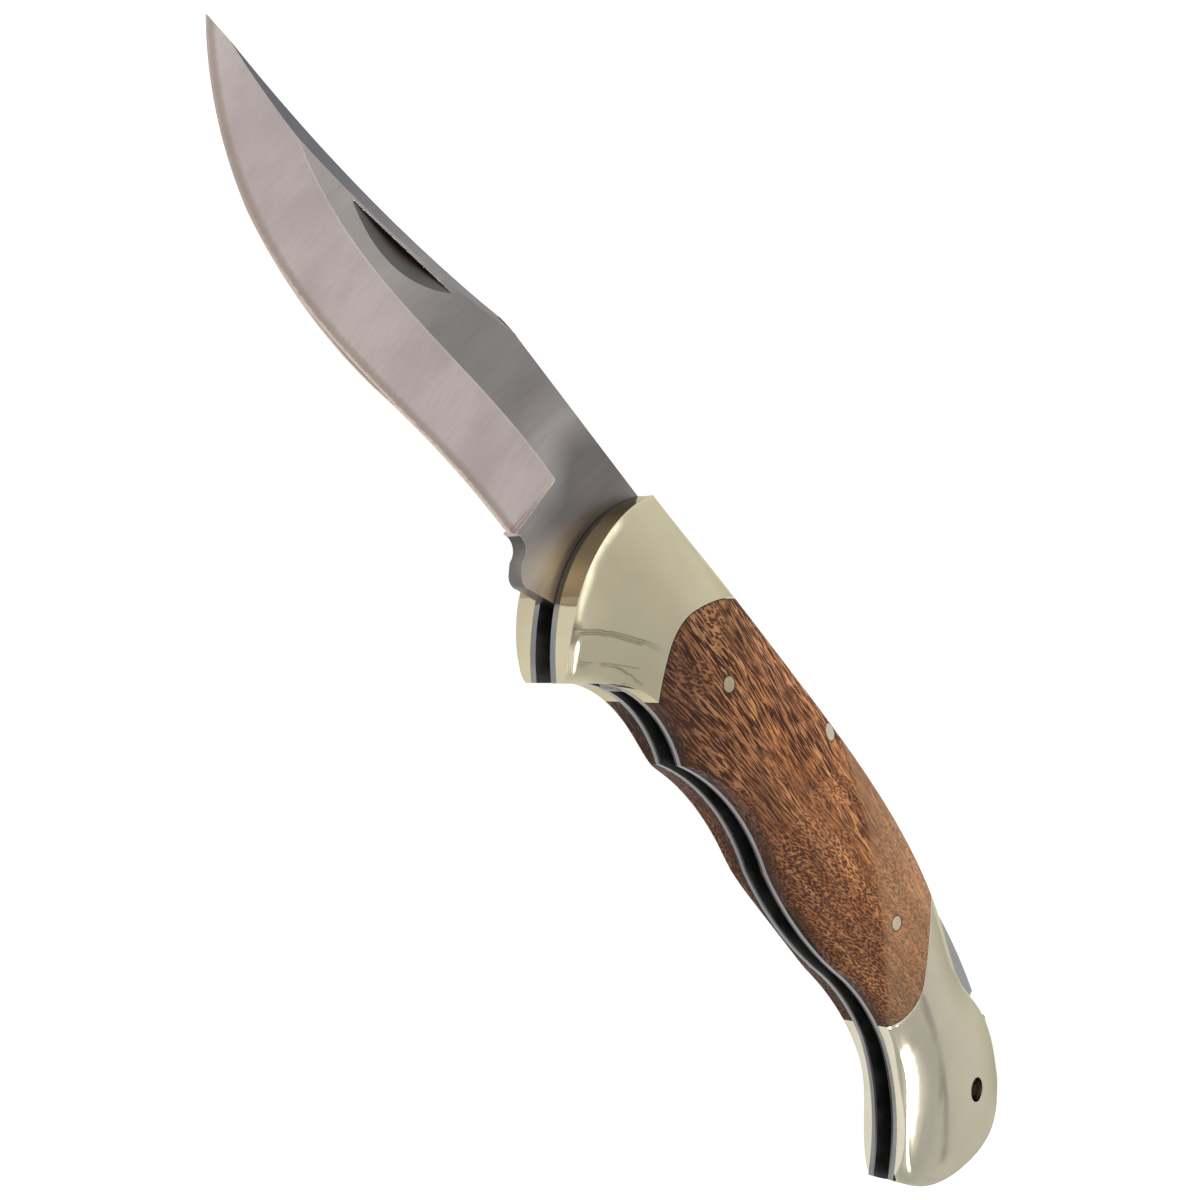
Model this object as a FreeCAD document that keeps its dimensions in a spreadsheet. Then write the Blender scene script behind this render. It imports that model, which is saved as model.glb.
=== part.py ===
import FreeCAD, Part
import math
import os

import Sketcher
from FreeCAD import Placement, Rotation, Vector

# A lockback folding knife, open, lying on its right side.
# While it is drawn, the pivot axis is the zero of x and y and the middle of the blade is the zero of z.
# x runs to the butt, y to the spine and z to the left side of the knife.

# Driving sizes in millimetres, with angles in degrees
SIZES = {
    # Handle
    "end_room": 30.8,
    "handle_depth": 21.0,
    "crown_height": 6.6,
    "land_depth": 0.15,
    "liner_thickness": 0.9,
    "joint_gap": 0.12,
    # Blade
    "blade_reach": 86.4,
    "blade_depth": 19.0,
    "blade_thickness": 2.3,
    "blade_side_gap": 0.12,
    "bevel_height": 9.4,
    "edge_thickness": 0.2,
    "swedge_width": 1.9,
    "swedge_depth": 0.7,
    "nick_length": 16.6,
    "nick_width": 2.7,
    "nick_depth": 0.5,
    "nick_tilt": 12.9,
    # Pivot and lock
    "pivot_diameter": 4.6,
    "running_gap": 0.04,
    "seat_gap": 0.02,
    "cam_radius": 8.5,
    "notch_depth": 0.9,
    "notch_width": 4.2,
    "closed_flat_depth": 1.0,
    "tooth_gap": 0.2,
    "tooth_lift": 0.15,
    "lock_bar_depth": 5.2,
    "lock_pin_diameter": 2.4,
    "tail_gap": 0.4,
    # Spring and butt
    "spring_thickness": 1.1,
    "spring_gap": 0.38,
    "root_gap": 0.76,
    "tip_gap": 1.8,
    "rivet_diameter": 2.1,
    "spacer_pin_diameter": 2.0,
    "lanyard_diameter": 3.6,
    # Every cutting shape reaches this far past what it cuts
    "overrun": 1.0,
}

# Shares of the handle length (x) and of the handle depth (y)
SPINE_FRONT_SHARES = (-0.081, 0.605)
FRONT_ARC_SHARES = (-0.109, 0.085)
GUARD_ROOT_SHARES = (-0.09, -0.343)
GUARD_ARC_SHARES = (-0.068, -0.522)
GUARD_TIP_SHARES = (-0.039, -0.685)
GUARD_BACK_SHARES = (0.01, -0.43)
FRONT_GROOVE_SHARES = (0.083, -0.269)
FINGER_RIDGE_SHARES = (0.156, -0.343)
FINGER_GROOVE_SHARES = (0.254, -0.214)
SWELL_FRONT_SHARES = (0.346, -0.314)
SWELL_SHARES = (0.437, -0.376)
SWELL_REAR_SHARES = (0.537, -0.324)
REAR_GROOVE_SHARES = (0.604, -0.312)
BEAK_ROOT_SHARES = (0.654, -0.367)
BEAK_ARC_SHARES = (0.729, -0.624)
BEAK_TIP_SHARES = (0.781, -0.995)
BUTT_LOW_SHARES = (0.864, -0.633)
BUTT_END_SHARES = (0.891, -0.176)
BUTT_HIGH_SHARES = (0.866, 0.233)
SCALLOP_REAR_SHARES = (0.808, 0.467)
SCALLOP_SHARES = (0.71, 0.471)
SCALLOP_FRONT_SHARES = (0.61, 0.695)
SPINE_REAR_SHARES = (0.562, 0.705)
SPINE_CREST_SHARES = (0.354, 0.76)
SPINE_RISE_SHARES = (0.146, 0.7)

# Places of the pins and holes
LOCK_PIN_SHARES = (0.298, 0.65)
FRONT_RIVET_SHARES = (0.123, 0.157)
REAR_RIVET_SHARES = (0.536, 0.15)
LANYARD_SHARES = (0.825, -0.071)
UPPER_SPACER_PIN_SHARES = (0.835, 0.248)
LOWER_SPACER_PIN_SHARES = (0.821, -0.476)

# Joints of the wood with the bolsters, from the spine to the belly
FRONT_JOINT_SHARES = (
    (0.096, 0.724),
    (0.051, 0.457),
    (0.034, 0.288),
    (0.027, 0.11),
    (0.036, -0.064),
    (0.054, -0.202),
    (0.077, -0.314),
)
REAR_JOINT_SHARES = (
    (0.585, 0.743),
    (0.601, 0.41),
    (0.634, 0.067),
    (0.642, -0.138),
    (0.624, -0.362),
)

# Cross-sections of the crowned handle: place along it, spine and belly, then how far the crown
# and the two rims rise above the liner
CROWN_SECTION_SHARES = (
    (-0.125, 0.632, -0.62, 0.74, 0.15, 0.08),
    (-0.042, 0.648, -0.73, 0.84, 0.15, 0.06),
    (0.042, 0.675, -0.425, 0.96, 0.16, 0.14),
    (0.167, 0.715, -0.35, 1.0, 0.18, 0.18),
    (0.35, 0.762, -0.36, 1.01, 0.2, 0.2),
    (0.533, 0.72, -0.36, 0.96, 0.12, 0.16),
    (0.64, 0.585, -0.4, 0.82, 0.05, 0.08),
    (0.71, 0.45, -0.57, 0.76, 0.05, 0.05),
    (0.775, 0.45, -0.95, 0.74, 0.06, 0.05),
    (0.842, 0.35, -0.85, 0.64, 0.02, 0.2),
    (0.905, 0.22, -0.62, 0.52, 0.06, 0.25),
)

# Round shoulders of the belly and of the spine: their shares of a section's width and rise,
# and how far they bulge within them
BELLY_SHOULDER_SHARES = (0.1, 0.5)
BELLY_BULGE_SHARES = (0.42, 0.65)
SPINE_SHOULDER_SHARES = (0.055, 0.5)
SPINE_BULGE_SHARES = (0.4, 0.65)

# Lock bar and spacer, as shares of the handle length and depth
BAR_FRONT_SHARE = 0.64
BAR_HAUNCH_SHARES = (0.671, 0.672)
BAR_TAIL_SHARES = (0.775, 0.545)
TAIL_DEPTH_SHARE = 0.76
UNDERSIDE_MIDDLE_SHARE = 0.5
SPACER_TOP_SHARE = 0.495
SPACER_HEEL_SHARES = (0.815, -0.883)
SPACER_BAY_SHARES = (0.772, -0.57)
SPRING_ROOT_SHARE = 0.808
SPRING_BEND_SHARE = 0.767
SPRING_MIDDLE_SHARE = 0.69
SPRING_TIP_SHARE = 0.612
SPRING_TIP_RISE_SHARE = 0.03

# Height of the middle of the spring, as a share of the rise from its root to its tip
SPRING_BOW_SHARE = 0.445

# Blade outline, as shares of the blade reach and depth
CLIP_SHARES = (-0.762, 0.274)
HUMP_FRONT_SHARES = (-0.461, 0.584)
HUMP_SHARES = (-0.441, 0.597)
HUMP_REAR_SHARES = (-0.42, 0.6)
POINT_SHARES = (-1.0, 0.16)
EDGE_SWEEP_SHARES = (-0.9155, -0.153)
EDGE_TURN_SHARES = (-0.8, -0.395)
EDGE_BELLY_SHARES = (-0.677, -0.474)
EDGE_RISE_SHARES = (-0.503, -0.405)
EDGE_STRAIGHT_SHARES = (-0.376, -0.324)
HEEL_SHARES = (-0.247, -0.295)
CHOIL_FRONT_SHARES = (-0.233, -0.274)
CHOIL_SHARES = (-0.213, -0.297)
CHOIL_REAR_SHARES = (-0.205, -0.375)
KICK_FRONT_SHARES = (-0.194, -0.442)
KICK_SHARES = (-0.185, -0.466)
KICK_REAR_SHARES = (-0.17, -0.455)
TANG_FRONT_SHARES = (-0.126, -0.379)
CAM_START_TURN = 218.5

# Stations of the two grinds: place along the blade, edge or spine height, and how much is cut there
EDGE_STATION_SHARES = (
    (-0.24, -0.295),
    (-0.39, -0.332),
    (-0.54, -0.426),
    (-0.69, -0.471),
    (-0.82, -0.368),
    (-0.92, -0.142),
    (-1.02, 0.242),
)
SWEDGE_STATION_SHARES = (
    (-0.43, 0.6, 0.06),
    (-0.56, 0.472, 0.75),
    (-0.71, 0.322, 1.0),
    (-0.86, 0.212, 1.0),
    (-1.02, 0.152, 0.9),
)
NICK_SHARES = (-0.63, 0.285)

document = FreeCAD.newDocument("folding_knife")


class Length:
    """A length with its value in millimetres and the expression that keeps it tied to the sheet."""

    def __init__(self, value, text):
        self.value = value
        self.text = text

    def __add__(self, other):
        return Length(self.value + other.value, f"({self.text} + {other.text})")

    def __sub__(self, other):
        return Length(self.value - other.value, f"({self.text} - {other.text})")

    def __mul__(self, share):
        return Length(self.value * share, f"({self.text} * ({share}))")

    def __neg__(self):
        return self * -1


def make_sheet():
    """The driving sizes as cells of a spreadsheet, each with its name as alias."""
    sheet = document.addObject("Spreadsheet::Sheet", "Sizes")
    for row, (name, value) in enumerate(SIZES.items(), start=1):
        sheet.set(f"A{row}", name)
        sheet.set(f"B{row}", str(value))
        sheet.setAlias(f"B{row}", name)
    document.recompute()
    return sheet


SHEET = make_sheet()
ZERO = Length(0, "0")


def size(name):
    return Length(float(SHEET.get(name)), f"Sizes.{name}")


def leg(hypotenuse, side):
    """The other leg of a right triangle."""
    value = math.sqrt(hypotenuse.value**2 - side.value**2)
    return Length(value, f"sqrt({hypotenuse.text}^2 - {side.text}^2)")


def on_circle(radius, turn):
    """A point on a circle round the pivot, at a turn in degrees from the x axis."""
    angle = math.radians(turn)
    return (radius * math.cos(angle), radius * math.sin(angle))


# The handle is as long as the folded blade, its tip gap and the room at both ends
HANDLE_LENGTH = size("blade_reach") + size("tip_gap") + size("end_room")


def on_handle(shares):
    return (HANDLE_LENGTH * shares[0], size("handle_depth") * shares[1])


def on_blade(shares):
    return (size("blade_reach") * shares[0], size("blade_depth") * shares[1])


SLOT_HALF = size("blade_thickness") * 0.5 + size("blade_side_gap")
SHELL_BASE = SLOT_HALF + size("liner_thickness")
LAND_HEIGHT = size("crown_height") - size("land_depth")


# Sketches and plates


def plane_of(body, role):
    return next(plane for plane in body.Origin.OriginFeatures if plane.Role == role)


def new_sketch(body, name, role, offset):
    """A sketch on one of the body's own planes, moved along the plane's normal."""
    sketch = body.newObject("Sketcher::SketchObject", name)
    sketch.AttachmentSupport = (plane_of(body, role), [""])
    sketch.MapMode = "FlatFace"
    sketch.AttachmentOffset = Placement(Vector(0, 0, offset.value), Rotation())
    sketch.setExpression("AttachmentOffset.Base.z", offset.text)
    return sketch


def flat(point):
    return Vector(point[0].value, point[1].value, 0)


def bind(sketch, constraint, length):
    index = sketch.addConstraint(constraint)
    sketch.setExpression(f"Constraints[{index}]", length.text)


def bind_point(sketch, geometry, end, point):
    bind(sketch, Sketcher.Constraint("DistanceX", geometry, end, point[0].value), point[0])
    bind(sketch, Sketcher.Constraint("DistanceY", geometry, end, point[1].value), point[1])


def draw_line(sketch, start, finish):
    """Returns the line and the numbers of its first and last ends."""
    line = sketch.addGeometry(Part.LineSegment(flat(start), flat(finish)), False)
    return line, 1, 2


def draw_arc(sketch, start, middle, finish):
    """An arc through three points. The sketch counts its ends against the clock."""
    points = [flat(point) for point in (start, middle, finish)]
    arc = sketch.addGeometry(Part.Arc(*points), False)
    guide = sketch.addGeometry(Part.Point(points[1]), True)
    bind_point(sketch, guide, 1, middle)
    sketch.addConstraint(Sketcher.Constraint("PointOnObject", guide, 1, arc))
    against_clock = (points[1] - points[0]).cross(points[2] - points[0]).z > 0
    return (arc, 1, 2) if against_clock else (arc, 2, 1)


def draw_outline(sketch, path):
    """A closed outline. Each step of the path ends at its last point, and an arc passes through its first."""
    start = path[-1][-1]
    pieces = []
    for step in path:
        draw = draw_line if len(step) == 1 else draw_arc
        pieces.append(draw(sketch, start, *step))
        start = step[-1]
    for index, step in enumerate(path):
        geometry, first, last = pieces[index]
        before, _, end_before = pieces[index - 1]
        sketch.addConstraint(Sketcher.Constraint("Coincident", before, end_before, geometry, first))
        bind_point(sketch, geometry, last, step[-1])


def draw_hole(sketch, center, radius):
    circle = sketch.addGeometry(Part.Circle(flat(center), Vector(0, 0, 1), radius.value), False)
    bind_point(sketch, circle, 3, center)
    bind(sketch, Sketcher.Constraint("Radius", circle, radius.value), radius)


def plate(name, path, bottom, thickness, holes=()):
    """A flat plate with its holes, padded up from the height of its lower face."""
    body = document.addObject("PartDesign::Body", name)
    sketch = new_sketch(body, f"{name}_outline", "XY_Plane", bottom)
    draw_outline(sketch, path)
    for center, radius in holes:
        draw_hole(sketch, center, radius)
    pad = body.newObject("PartDesign::Pad", f"{name}_pad")
    pad.Profile = sketch
    pad.setExpression("Length", thickness.text)
    document.recompute()
    return body


def cylinder(name, center, radius, bottom, height):
    rod = document.addObject("Part::Cylinder", name)
    rod.setExpression("Radius", radius.text)
    rod.setExpression("Height", height.text)
    place(rod, center[0], center[1], bottom)
    return rod


def box(name, corner, length, width, height):
    block = document.addObject("Part::Box", name)
    block.setExpression("Length", length.text)
    block.setExpression("Width", width.text)
    block.setExpression("Height", height.text)
    place(block, *corner)
    return block


def place(piece, x, y, z):
    for axis, length in zip("xyz", (x, y, z)):
        piece.setExpression(f"Placement.Base.{axis}", length.text)


def combine(kind, name, base, tool):
    """A boolean of two pieces: Common keeps what they share, Cut takes the tool away, Fuse joins them."""
    result = document.addObject(f"Part::{kind}", name)
    result.Base = base
    result.Tool = tool
    document.recompute()
    return result


def mirror_to_right(name, piece):
    """The same piece on the right side of the knife."""
    twin = document.addObject("Part::Mirroring", name)
    twin.Source = piece
    twin.Base = Vector(0, 0, 0)
    twin.Normal = Vector(0, 0, 1)
    document.recompute()
    return twin


# Handle


def handle_path():
    """The outline that liners, bolsters and scales share, from the spine round the guard and the beak."""
    turns = (
        (FRONT_ARC_SHARES, GUARD_ROOT_SHARES),
        (GUARD_ARC_SHARES, GUARD_TIP_SHARES),
        (GUARD_BACK_SHARES,),
        (FRONT_GROOVE_SHARES, FINGER_RIDGE_SHARES),
        (FINGER_GROOVE_SHARES, SWELL_FRONT_SHARES),
        (SWELL_SHARES, SWELL_REAR_SHARES),
        (REAR_GROOVE_SHARES, BEAK_ROOT_SHARES),
        (BEAK_ARC_SHARES, BEAK_TIP_SHARES),
        (BUTT_LOW_SHARES, BUTT_END_SHARES),
        (BUTT_HIGH_SHARES, SCALLOP_REAR_SHARES),
        (SCALLOP_SHARES, SCALLOP_FRONT_SHARES),
        (SPINE_REAR_SHARES,),
        (SPINE_CREST_SHARES, SPINE_RISE_SHARES),
        (SPINE_FRONT_SHARES,),
    )
    return [tuple(on_handle(shares) for shares in step) for step in turns]


def pin_holes(gap):
    """Holes through the left side that both the liner and the shell on it have."""
    rivet_radius = size("rivet_diameter") * 0.5 + gap
    return [
        (on_handle(FRONT_RIVET_SHARES), rivet_radius),
        (on_handle(REAR_RIVET_SHARES), rivet_radius),
        (on_handle(LOCK_PIN_SHARES), size("lock_pin_diameter") * 0.5 + gap),
        (on_handle(LANYARD_SHARES), size("lanyard_diameter") * 0.5),
    ]


def spacer_pin_holes(gap):
    radius = size("spacer_pin_diameter") * 0.5 + gap
    return [(on_handle(shares), radius) for shares in (UPPER_SPACER_PIN_SHARES, LOWER_SPACER_PIN_SHARES)]


def make_liner():
    gap = size("seat_gap")
    pivot_hole = ((ZERO, ZERO), size("pivot_diameter") * 0.5 + gap)
    holes = [pivot_hole] + pin_holes(gap) + spacer_pin_holes(gap)
    return plate("liner_left", handle_path(), SLOT_HALF, size("liner_thickness"), holes)


def shoulder(foot, top, rim, crown, shares, bulge_shares):
    """Middle and upper end of a round shoulder that rises from the rim at the foot towards the top."""
    width = (top - foot) * shares[0]
    rise = (crown - rim) * shares[1]
    middle = (foot + width * bulge_shares[0], rim + rise * bulge_shares[1])
    return middle, (foot + width, rim + rise)


def crown_section(body, number, shares):
    """One arched cross-section of the handle, with a round shoulder along the spine and the belly."""
    station, spine_share, belly_share, *rise_shares = shares
    spine = size("handle_depth") * spine_share
    belly = size("handle_depth") * belly_share
    full_rise = size("crown_height") - SHELL_BASE
    crown, spine_rim, belly_rim = [SHELL_BASE + full_rise * share for share in rise_shares]
    spine_bulge, spine_top = shoulder(spine, belly, spine_rim, crown, SPINE_SHOULDER_SHARES, SPINE_BULGE_SHARES)
    belly_bulge, belly_top = shoulder(belly, spine, belly_rim, crown, BELLY_SHOULDER_SHARES, BELLY_BULGE_SHARES)
    path = [
        ((spine, ZERO),),
        ((spine, spine_rim),),
        (spine_bulge, spine_top),
        (((spine + belly) * 0.5, crown), belly_top),
        (belly_bulge, (belly, belly_rim)),
        ((belly, ZERO),),
    ]
    sketch = new_sketch(body, f"crown_section_{number}", "YZ_Plane", HANDLE_LENGTH * station)
    draw_outline(sketch, path)
    return sketch


def make_crown():
    """The rounded body that gives the left shells their outside."""
    body = document.addObject("PartDesign::Body", "crown")
    sections = [crown_section(body, n, shares) for n, shares in enumerate(CROWN_SECTION_SHARES)]
    loft = body.newObject("PartDesign::AdditiveLoft", "crown_loft")
    loft.Profile = sections[0]
    loft.Sections = sections[1:]
    document.recompute()
    return body


def joint_points(shares, shift):
    """Points of one joint of the wood, moved along the handle."""
    return [(x + shift, y) for x, y in map(on_handle, shares)]


def arcs(points):
    """Steps of a path along arcs, each through one point to the next."""
    return list(zip(points[1::2], points[2::2]))


def make_wood_room(name, gap):
    """The room of the wood: a block with a curved end at each bolster, grown by a gap."""
    front = joint_points(FRONT_JOINT_SHARES, -gap)
    rear = joint_points(REAR_JOINT_SHARES, gap)
    depth = size("handle_depth")
    path = [
        ((front[0][0], depth),),
        (front[0],),
        *arcs(front),
        ((front[-1][0], -depth),),
        ((rear[-1][0], -depth),),
        (rear[-1],),
        *arcs(rear[::-1]),
        ((rear[0][0], depth),),
    ]
    return plate(name, path, ZERO, size("crown_height") + size("overrun"))


def make_shells(crown):
    """The bolsters and the scale of the left side, cut from one crowned shell."""
    blank_height = LAND_HEIGHT - SHELL_BASE
    blank = plate("shell_blank", handle_path(), SHELL_BASE, blank_height, pin_holes(size("seat_gap")))
    shell = combine("Common", "shell", blank, crown)
    scale = combine("Common", "scale_left", shell, make_wood_room("wood_room", ZERO))
    bolsters = combine("Cut", "bolsters", shell, make_wood_room("wood_and_joint", size("joint_gap")))
    middle = on_handle(LOCK_PIN_SHARES)[0]
    reach = HANDLE_LENGTH
    corner = (middle - reach, -reach, ZERO)
    front_half = box("front_half", corner, reach, reach * 2, size("crown_height") * 2)
    front_bolster = combine("Common", "front_bolster_left", bolsters, front_half)
    rear_bolster = combine("Cut", "rear_bolster_left", bolsters, front_half)
    return [scale, front_bolster, rear_bolster]


def make_rivet(name, shares, crown):
    """A flush rivet through one scale and its liner, rounded off with the wood."""
    radius = size("rivet_diameter") * 0.5
    length = LAND_HEIGHT - SLOT_HALF
    return combine("Common", name, cylinder(f"{name}_rod", on_handle(shares), radius, SLOT_HALF, length), crown)


def make_lock_pin(crown):
    """The pin that the lock bar rocks on, flush with both scales."""
    radius = size("lock_pin_diameter") * 0.5
    rod = cylinder("lock_pin_rod", on_handle(LOCK_PIN_SHARES), radius, ZERO, LAND_HEIGHT)
    half = combine("Common", "lock_pin_left_half", rod, crown)
    return combine("Fuse", "lock_bar_pin", half, mirror_to_right("lock_pin_right_half", half))


def make_hidden_pin(name, center, diameter):
    """A pin that ends flush with the outsides of the liners, under the bolsters."""
    return cylinder(name, center, diameter * 0.5, -SHELL_BASE, SHELL_BASE * 2)


# Lock and butt


def bar_tail_bottom():
    tail = on_handle(BAR_TAIL_SHARES)
    return (tail[0], tail[1] - size("lock_bar_depth") * TAIL_DEPTH_SHARE)


def make_lock_bar():
    """The bar along the spine, with its tooth over the notch of the tang."""
    tooth_half = size("notch_width") * 0.5 - size("tooth_gap")
    tooth_bottom = size("cam_radius") + size("tooth_lift")
    shoulder = size("cam_radius") + size("notch_depth")
    crest = on_handle(SPINE_CREST_SHARES)
    tail = on_handle(BAR_TAIL_SHARES)
    pin = on_handle(LOCK_PIN_SHARES)
    depth = size("lock_bar_depth")
    haunch = on_handle(BAR_HAUNCH_SHARES)
    middle = (pin[0], crest[1] - depth)
    path = [
        ((-tooth_half, size("handle_depth") * BAR_FRONT_SHARE),),
        (on_handle(SPINE_RISE_SHARES),),
        (crest, on_handle(SPINE_REAR_SHARES)),
        (haunch, tail),
        (bar_tail_bottom(),),
        ((haunch[0], haunch[1] - depth), middle),
        ((pin[0] * UNDERSIDE_MIDDLE_SHARE, (middle[1] + shoulder) * 0.5), (tooth_half, shoulder)),
        ((tooth_half, tooth_bottom),),
        ((-tooth_half, tooth_bottom),),
    ]
    hole = (pin, size("lock_pin_diameter") * 0.5 + size("running_gap"))
    thickness = size("blade_thickness")
    return plate("lock_bar", path, -thickness * 0.5, thickness, [hole])


def spring_points():
    """Places along the underside of the leaf spring, from its root to its tip, all below the lock bar."""
    thickness = size("spring_thickness")
    underside = on_handle(BAR_HAUNCH_SHARES)[1] - size("lock_bar_depth")
    rise = size("handle_depth") * SPRING_TIP_RISE_SHARE
    tip_y = underside + rise - size("spring_gap") - thickness
    root_y = bar_tail_bottom()[1] - size("root_gap") - thickness
    middle_y = root_y + (tip_y - root_y) * SPRING_BOW_SHARE
    root = (HANDLE_LENGTH * SPRING_ROOT_SHARE, root_y)
    bend = (HANDLE_LENGTH * SPRING_BEND_SHARE, root_y)
    middle = (HANDLE_LENGTH * SPRING_MIDDLE_SHARE, middle_y)
    return root, bend, middle, (HANDLE_LENGTH * SPRING_TIP_SHARE, tip_y)


def raised(point, height):
    return (point[0], point[1] + height)


def make_lock_spring():
    """The leaf that lifts the tail of the lock bar, drawn as bent when the bar is pressed home."""
    thickness = size("spring_thickness")
    root, bend, middle, tip = spring_points()
    path = [
        (bend,),
        (middle, tip),
        (raised(tip, thickness),),
        (raised(middle, thickness), raised(bend, thickness)),
        (raised(root, thickness),),
        (root,),
    ]
    width = size("blade_thickness")
    return plate("lock_spring", path, -width * 0.5, width)


def make_butt_spacer():
    """The filler between the liners at the butt, with the slot that holds the root of the spring."""
    gap = size("seat_gap")
    root = spring_points()[0]
    front = on_handle(BAR_TAIL_SHARES)[0] + size("tail_gap")
    slot_top = root[1] + size("spring_thickness") + gap
    slot_end = root[0] + gap
    bay = on_handle(SPACER_BAY_SHARES)
    clear = size("blade_reach") + size("tip_gap")
    path = [
        (on_handle(BUTT_HIGH_SHARES), on_handle(BUTT_END_SHARES)),
        (on_handle(BUTT_LOW_SHARES), on_handle(SPACER_HEEL_SHARES)),
        (bay,),
        ((clear, ZERO),),
        ((clear, root[1] - gap),),
        ((slot_end, root[1] - gap),),
        ((slot_end, slot_top),),
        ((front, slot_top),),
        ((front, size("handle_depth") * SPACER_TOP_SHARE),),
    ]
    lanyard = (on_handle(LANYARD_SHARES), size("lanyard_diameter") * 0.5)
    holes = [lanyard] + spacer_pin_holes(gap)
    return plate("butt_spacer", path, -SLOT_HALF, SLOT_HALF * 2, holes)


# Blade


def blade_path():
    """The profile: point, edge, choil, kick, tang with its cam and lock notch, spine and clip."""
    cam = size("cam_radius")
    flat_y = size("closed_flat_depth") - cam
    flat_x = leg(cam, flat_y)
    notch_half = size("notch_width") * 0.5
    notch_floor = cam - size("notch_depth")
    spine_rear = size("handle_depth") * BAR_FRONT_SHARE
    return [
        (on_blade(EDGE_SWEEP_SHARES), on_blade(EDGE_TURN_SHARES)),
        (on_blade(EDGE_BELLY_SHARES), on_blade(EDGE_RISE_SHARES)),
        (on_blade(EDGE_STRAIGHT_SHARES), on_blade(HEEL_SHARES)),
        (on_blade(CHOIL_FRONT_SHARES),),
        (on_blade(CHOIL_SHARES), on_blade(CHOIL_REAR_SHARES)),
        (on_blade(KICK_FRONT_SHARES),),
        (on_blade(KICK_SHARES), on_blade(KICK_REAR_SHARES)),
        (on_blade(TANG_FRONT_SHARES),),
        (on_circle(cam, CAM_START_TURN),),
        (on_circle(cam, 0.5 * (CAM_START_TURN + 180 + flat_turn())), (-flat_x, flat_y)),
        ((flat_x, flat_y),),
        ((cam, ZERO), (notch_half, leg(cam, notch_half))),
        ((notch_half, notch_floor),),
        ((-notch_half, notch_floor),),
        ((-notch_half, spine_rear),),
        (on_handle(SPINE_FRONT_SHARES),),
        (on_blade(HUMP_REAR_SHARES),),
        (on_blade(HUMP_SHARES), on_blade(HUMP_FRONT_SHARES)),
        (on_blade(CLIP_SHARES), on_blade(POINT_SHARES)),
    ]


def flat_turn():
    """Turn of the flat's rear end below the x axis, in degrees."""
    cam = size("cam_radius").value
    depth = size("closed_flat_depth").value
    return math.degrees(math.asin((cam - depth) / cam))


def bevel_section(body, number, shares):
    """Cross-section of what the main grind takes away on the left, from grind line to edge."""
    overrun = size("overrun")
    half = size("blade_thickness") * 0.5
    edge = size("blade_depth") * shares[1]
    grind = edge + size("bevel_height")
    edge_half = size("edge_thickness") * 0.5
    sketch = new_sketch(body, f"bevel_section_{number}", "YZ_Plane", size("blade_reach") * shares[0])
    path = [
        ((edge, edge_half),),
        ((edge - overrun, edge_half),),
        ((edge - overrun, half + overrun),),
        ((grind, half + overrun),),
        ((grind, half),),
    ]
    draw_outline(sketch, path)
    return sketch


def swedge_section(body, number, shares):
    """Cross-section of what the false edge along the clip takes away on the left."""
    station, spine_share, cut_share = shares
    overrun = size("overrun")
    half = size("blade_thickness") * 0.5
    spine = size("blade_depth") * spine_share
    low = spine - size("swedge_width") * cut_share
    spine_half = half - size("swedge_depth") * cut_share
    sketch = new_sketch(body, f"swedge_section_{number}", "YZ_Plane", size("blade_reach") * station)
    path = [
        ((spine, spine_half),),
        ((spine + overrun, spine_half),),
        ((spine + overrun, half + overrun),),
        ((low, half + overrun),),
        ((low, half),),
    ]
    draw_outline(sketch, path)
    return sketch


def grind(body, name, sections):
    loft = body.newObject("PartDesign::SubtractiveLoft", name)
    loft.Profile = sections[0]
    loft.Sections = sections[1:]
    document.recompute()
    return loft


def cut_nail_nick(body):
    """A shallow crescent left by a conical cutter: a straight upper wall and a curved lower lip."""
    half_length = size("nick_length") * 0.5
    depth = size("nick_depth")
    rise = size("blade_thickness") * 0.5 - depth
    radius_value = (half_length.value**2 + depth.value**2) / (depth.value * 2)
    radius = Length(radius_value, f"(({half_length.text}^2 + {depth.text}^2) / ({depth.text} * 2))")
    center = on_blade(NICK_SHARES)
    cone = body.newObject("PartDesign::SubtractiveCone", "nail_nick")
    cone.AttachmentSupport = (plane_of(body, "XZ_Plane"), [""])
    cone.MapMode = "FlatFace"
    cone.setExpression("Radius1", radius.text)
    cone.setExpression("Radius2", (radius - depth * 2).text)
    cone.setExpression("Height", (size("nick_width") * 2).text)
    cone.AttachmentOffset = Placement(Vector(), Rotation(Vector(0, 1, 0), size("nick_tilt").value))
    for axis, length in zip("xyz", (center[0], radius + rise, -center[1])):
        cone.setExpression(f"AttachmentOffset.Base.{axis}", length.text)
    document.recompute()


def make_blade():
    """The blade with its main grind, its false edge and its nail nick."""
    thickness = size("blade_thickness")
    hole = ((ZERO, ZERO), size("pivot_diameter") * 0.5 + size("running_gap"))
    body = plate("blade", blade_path(), -thickness * 0.5, thickness, [hole])
    bevel = [bevel_section(body, n, shares) for n, shares in enumerate(EDGE_STATION_SHARES)]
    swedge = [swedge_section(body, n, shares) for n, shares in enumerate(SWEDGE_STATION_SHARES)]
    cuts = [grind(body, "main_grind", bevel), grind(body, "false_edge", swedge)]
    mirrored = body.newObject("PartDesign::Mirrored", "right_grinds")
    mirrored.Originals = cuts
    mirrored.MirrorPlane = (plane_of(body, "XY_Plane"), [""])
    body.Tip = mirrored
    document.recompute()
    cut_nail_nick(body)
    return body


# Assembly


def make_left_side(crown):
    rivets = [
        make_rivet("front_scale_rivet_left", FRONT_RIVET_SHARES, crown),
        make_rivet("rear_scale_rivet_left", REAR_RIVET_SHARES, crown),
    ]
    return [make_liner()] + make_shells(crown) + rivets


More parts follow.
